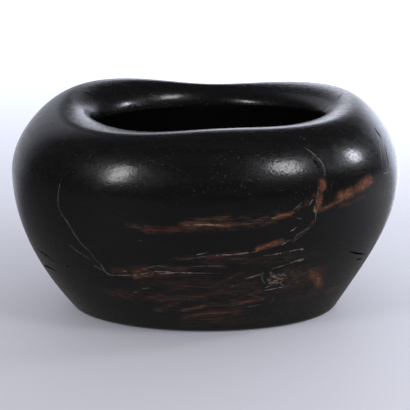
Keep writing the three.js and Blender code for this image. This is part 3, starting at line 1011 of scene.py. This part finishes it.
def knot_paste():
    """Straw-coloured chips, longer than high, in a dark paste."""
    material, tree, shader = new_material("knot_paste", FILLER_SHEEN)
    place, _ = grain_place(tree)
    chips = noise(tree, vector(tree, "MULTIPLY", place, CHIPS_LIE_FLAT), CHIP_GRAIN, seed=11.0)
    fine = noise(tree, place, PASTE_GRAIN, seed=12.0)
    pale = share_of(tree, chips + fine * PASTE_IN_COLOUR, *CHIPS_AT)
    colour = blend(tree, pale, PLUG_DARK, STRAW)
    roughness = PASTE_ROUGHNESS - CHIPS_SMOOTHER * pale
    relief = pale + fine * PASTE_IN_RELIEF
    finish_material(tree, shader, colour, roughness, relief, PASTE_RELIEF_DEPTH)
    return material


def inlay(name, stub, block, material):
    """The part of a stub that lies inside the block, so that it ends flush."""
    sizes = {"block": block}
    tree, start, size = new_tree(name, sizes)
    wood = mesh_of(tree, size["block"])
    end_tree(tree, sharp_where_bent(tree, boolean(tree, "INTERSECT", start, wood)), material)
    return made_by(tree, name, sizes, stub.data)


stub = knot_stub("knot_stub", 0.0)
knot = inlay("knot_filler", stub, block, knot_paste())
bpy.data.objects.remove(stub)
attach(knot, "root")
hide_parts("knot_plug")

# Splinters and hairline shakes caught some of the same filler. They are thin slivers in the
# surface, most of them near the knot and the right seam.
PALE_SLIVERS = [
    (0.0008, [(-13.5, 1.64), (-16.4, 1.53), (-19.2, 1.406), (-21.6, 1.273), (-23.0, 1.13)]),
    (0.0008, [(-23.0, 1.12), (-18.2, 1.116)]),
    (0.0008, [(-94, 0.669), (-89.5, 0.689)]),
    (0.0010, [(-67.4, 0.917), (-64.8, 0.921)]),
    (0.0012, [(-52.2, 0.972), (-52, 0.925)]),
    (0.0010, [(-60, 0.81), (-58, 0.839)]),
    (0.0016, [(-54.9, 0.672), (-53.3, 0.669)]),
    (0.0016, [(-54.3, 0.578), (-51.6, 0.588)]),
    (0.0012, [(-62.6, 0.718), (-60.5, 0.738), (-59.6, 0.753)]),
    (0.0009, [(-109, 0.512), (-104.8, 0.524), (-99, 0.538)]),
    (0.0012, [(-64.0, 0.384), (-61.3, 0.407), (-59.3, 0.449)]),
    (0.0012, [(-64.2, 0.525), (-62.8, 0.482)]),
    (0.0010, [(-63, 0.502), (-60.3, 0.482), (-57.5, 0.492)]),
    (0.0009, [(-60, 0.433), (-57.2, 0.403), (-55.5, 0.39)]),
    (0.0008, [(-54.2, 0.978), (-52.8, 1.028)]),
    (0.0012, [(-122.8, 0.512), (-120.5, 0.521)]),
]
DULL_SLIVERS = [
    (0.0007, [(-59.8, 0.957), (-58, 0.984), (-56.8, 1.012)]),
    (0.0008, [(-55.6, 1.02), (-55.1, 1.034)]),
    (0.0009, [(-54.9, 0.955), (-54.6, 0.963)]),
    (0.0009, [(-54.4, 0.919), (-53.9, 0.924)]),
    (0.0008, [(-58.4, 0.903), (-56.2, 0.892)]),
    (0.0007, [(-60.3, 0.744), (-58.2, 0.75), (-57, 0.787), (-54.2, 0.81), (-52.2, 0.839)]),
    (0.0010, [(-67, 0.525), (-67, 0.479), (-65.8, 0.446), (-64.5, 0.417)]),
    (0.0008, [(-56.5, 0.371), (-52.5, 0.387)]),
    (0.0008, [(-114.8, 0.544), (-109.5, 0.575), (-104.5, 0.574)]),
    (0.0007, [(-96, 0.58), (-89, 0.587), (-82.5, 0.584)]),
    (0.0009, [(-82.0, 0.431), (-80.8, 0.43)]),
    (0.0009, [(-79, 0.421), (-77.8, 0.42)]),
    (0.0009, [(-122, 0.338), (-119.5, 0.355)]),
    (0.0011, [(-117.3, 0.381), (-114, 0.394)]),
    (0.0008, [(-70.2, 0.226), (-65.8, 0.23), (-62.2, 0.243)]),
    (0.0010, [(-58.2, 0.243), (-57.2, 0.292)]),
    (0.0010, [(-60.9, 0.585), (-60.2, 0.588)]),
    (0.0008, [(-113.9, 0.758), (-112.8, 0.763)]),
    (0.0007, [(-102, 0.134), (-98, 0.152)]),
    (0.0008, [(-134.2, 0.531), (-132.2, 0.512), (-131, 0.492)]),
    (0.0014, [(-131.0, 0.56), (-130.3, 0.499), (-129.0, 0.476), (-126.8, 0.469)]),
]
SLIVER_CHANGES = {"wedge proud": 0.06, "seed": 9.0}

for tone, slivers in {"pale": PALE_SLIVERS, "dull": DULL_SLIVERS}.items():
    piece = strips(tone + "_slivers", block, slivers, FILLERS[tone], **SLIVER_CHANGES)
    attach(piece, "root")
bpy.data.objects.remove(block)

# The table is a wide pale sheet. A painted glow makes it brighter towards the back and the right,
# painted shade makes its colour darker on the left, and the polish mirrors a painted reflection of
# it. Round it the studio is dark at the front and overhead. Behind the bowl stand pale walls with a
# window, brightest at the right, which the polish mirrors; the eye sees only their white.
FLOOR_HALF = 6.0
FLOOR_ROUGHNESS = 0.6
# Painted shade: the sheet's colour is darker on the left and lighter on the right, where the light comes
# from
FLOOR_SHADED_LEFT = (0.535, 0.53, 0.57, 1)
FLOOR_LIT_RIGHT = (0.62, 0.62, 0.67, 1)
FLOOR_SIDES = (-0.25, 0.25)
# The sheet's colour in gloss rays, darker than its own: a painted reflection
FLOOR_IN_GLOSS = (0.08, 0.08, 0.085, 1)
# The sheet's painted glow to the eye, at its left and at its right
GLOW_LEFT = (0.67, 0.72, 0.86, 1)
GLOW_RIGHT = (0.80, 0.86, 1.0, 1)
NO_GLOW = (0, 0, 0, 1)
# The floor's glow starts from nothing at this depth and is full this far from there
GLOW_MIDDLE = -0.3
GLOW_REACH = 1.6
# The painted reflection of the sheet in the polish: dark near the bowl, the walls further off
NEAR_FLOOR_GLOSS = (0.085, 0.079, 0.076, 1)
NEAR_FLOOR_TO = 0.10
FAR_FLOOR_FROM = 0.50
FLOOR_RIGHT_GLOSS = (0.46, 0.46, 0.50, 1)
FLOOR_RIGHT_FROM = 0.30
FLOOR_RIGHT_DEPTHS = (-0.30, 0.05)
STUDIO_DARK = (0.03, 0.03, 0.032, 1)
STUDIO_FILL = (0.66, 0.66, 0.70, 1)
WALL_LEFT = (0.62, 0.64, 0.73, 1)
WALL_RIGHT = (2.2, 2.35, 2.8, 1)
WINDOW = (2.1, 2.2, 2.5, 1)
BACKGROUND = (0.86, 0.90, 1.0, 1)
# Where the walls begin and end, in degrees to the right of straight behind the bowl and upwards
LEFT_WALL_EDGE = (-72.0, -42.0)
RIGHT_WALL_START = (-6.0, 34.0)
RIGHT_WALL_EDGE = (42.0, 62.0)
RIGHT_WALL_TOP = (6.0, 28.0)
LEFT_WALL_TOP = (38.0, 60.0)
LEFT_WALL_DROP = 25.0
LEFT_WALL_DROPS_AT = (-30.0, -8.0)
WINDOW_AT = (5.0, 17.0)
WINDOW_REACH = (13.0, 4.0)


def walls(tree, x, y, height, dark=STUDIO_DARK):
    """What stands round the bowl in a direction, as the polish mirrors it; height in degrees."""
    behind = x.work("ARCTAN2", x, y) * (180 / math.pi)
    left = share_of(tree, behind, *LEFT_WALL_EDGE)
    drop = share_of(tree, behind, *LEFT_WALL_DROPS_AT) * LEFT_WALL_DROP
    left_top = share_of(tree, drop + height, *LEFT_WALL_TOP)
    right = share_of(tree, behind, *RIGHT_WALL_START)
    end = share_of(tree, behind, *RIGHT_WALL_EDGE)
    right_top = share_of(tree, height, *RIGHT_WALL_TOP)
    seen_left = left * (1 - left_top) * (1 - end)
    grey = blend(tree, seen_left, dark, WALL_LEFT)
    away = ((behind - WINDOW_AT[0]) ** 2 + (height - WINDOW_AT[1]) ** 2) ** 0.5
    window = share_of(tree, away, *WINDOW_REACH)
    lit = blend(tree, right * (1 - end) * (1 - right_top), grey, WALL_RIGHT)
    return blend(tree, window, lit, WINDOW)


def ray_kinds(tree):
    rays = tree.nodes.new("ShaderNodeLightPath")
    return Wire(tree, rays.outputs["Is Camera Ray"]), Wire(tree, rays.outputs["Is Glossy Ray"])


def table_sheet():
    """The pale sheet, with painted shade on its left, a painted glow and a painted reflection."""
    sheet, tree, shader = new_material("floor", {"Roughness": FLOOR_ROUGHNESS})
    place = add(tree, "ShaderNodeTexCoord", {}, {}, "Object")
    across = coordinate(tree, place, "X")
    depth = coordinate(tree, place, "Y")
    direct, glossy = ray_kinds(tree)
    to_right = share_of(tree, across, *FLOOR_SIDES)
    # Painted shade: the sheet's colour darkens towards the left
    tone = blend(tree, to_right, FLOOR_SHADED_LEFT, FLOOR_LIT_RIGHT)
    # In gloss rays the sheet's own colour gives way to a darker one, a painted reflection
    plug(tree, blend(tree, glossy, tone, FLOOR_IN_GLOSS), shader.inputs["Base Color"])
    away = (across * across + depth * depth) ** 0.5
    far = share_of(tree, away, NEAR_FLOOR_TO, FAR_FLOOR_FROM)
    on_right = share_of(tree, across, 0.0, FLOOR_RIGHT_FROM) * share_of(tree, depth, *FLOOR_RIGHT_DEPTHS)
    far_side = blend(tree, on_right, STUDIO_DARK, FLOOR_RIGHT_GLOSS)
    mirrored = blend(tree, far, NEAR_FLOOR_GLOSS, walls(tree, across, depth, 0.0, far_side))
    # A painted glow that the eye sees, from nothing near the bowl to full far off, brighter on the right
    far_glow = blend(tree, to_right, GLOW_LEFT, GLOW_RIGHT)
    from_middle = (across ** 2 + (depth - GLOW_MIDDLE) ** 2) ** 0.5
    glow = blend(tree, share_of(tree, from_middle, 0.0, GLOW_REACH), NO_GLOW, far_glow)
    plug(tree, blend(tree, glossy, glow, mirrored), shader.inputs["Emission Color"])
    plug(tree, at_least(direct, glossy), shader.inputs["Emission Strength"])
    return sheet


floor_mesh = bpy.data.meshes.new("floor")
corners = [(x * FLOOR_HALF, y * FLOOR_HALF, 0) for x, y in ((-1, -1), (1, -1), (1, 1), (-1, 1))]
floor_mesh.from_pydata(corners, [], [(0, 1, 2, 3)])
floor_mesh.materials.append(table_sheet())
floor = new_object("floor", floor_mesh)

world = bpy.data.worlds.new("studio")
bpy.context.scene.world = world
world.use_nodes = True
tree = world.node_tree
way = add(tree, "ShaderNodeTexCoord", {}, {}, "Generated")
x, y, z = (coordinate(tree, way, axis) for axis in "XYZ")
direct, glossy = ray_kinds(tree)
shown = blend(tree, direct, STUDIO_FILL, BACKGROUND)
round_about = walls(tree, x, y, z.work("ARCSINE", z) * (180 / math.pi))
plug(tree, blend(tree, glossy, shown, round_about), tree.nodes["Background"].inputs["Color"])

# Three soft lamps stand round the table, the last one close by. Each is placed by the spot of the
# bowl that it makes shine, the way from there to the lamp and its distance. Then come its width,
# its height and its power in watts, which are those of the same lamp a metre away, and its colour.
LAMPS = {
    "lamp_left": (
        (-0.0597, -0.1006, 0.1303), (-0.61, -0.593, 0.51), 1.0, 0.17, 0.46, 3.0, (0.99, 0.99, 1.0),
    ),
    "lamp_right": (
        (0.0558, -0.0992, 0.1356), (0.526, -0.489, 0.635), 1.0, 0.23, 0.32, 3.0, (0.96, 0.96, 1.0),
    ),
    "lamp_near": (
        (0.1071, -0.0717, 0.1363), (0.884, 0.048, 0.462), 0.42, 0.16, 0.26, 3.6, (0.88, 0.91, 1.0),
    ),
}
for name, (spot, way, distance, width, height, power, colour) in LAMPS.items():
    data = bpy.data.lights.new(name, "AREA")
    data.shape = "ELLIPSE"
    data.size = width * distance
    data.size_y = height * distance
    data.energy = power * distance ** 2
    data.color = colour
    lamp = new_object(name, data)
    lamp.visible_camera = False
    way = Vector(way).normalized()
    lamp.location = Vector(spot) + way * distance
    lamp.rotation_euler = way.to_track_quat("Z", "Y").to_euler()

bpy.context.scene.view_settings.view_transform = "Standard"
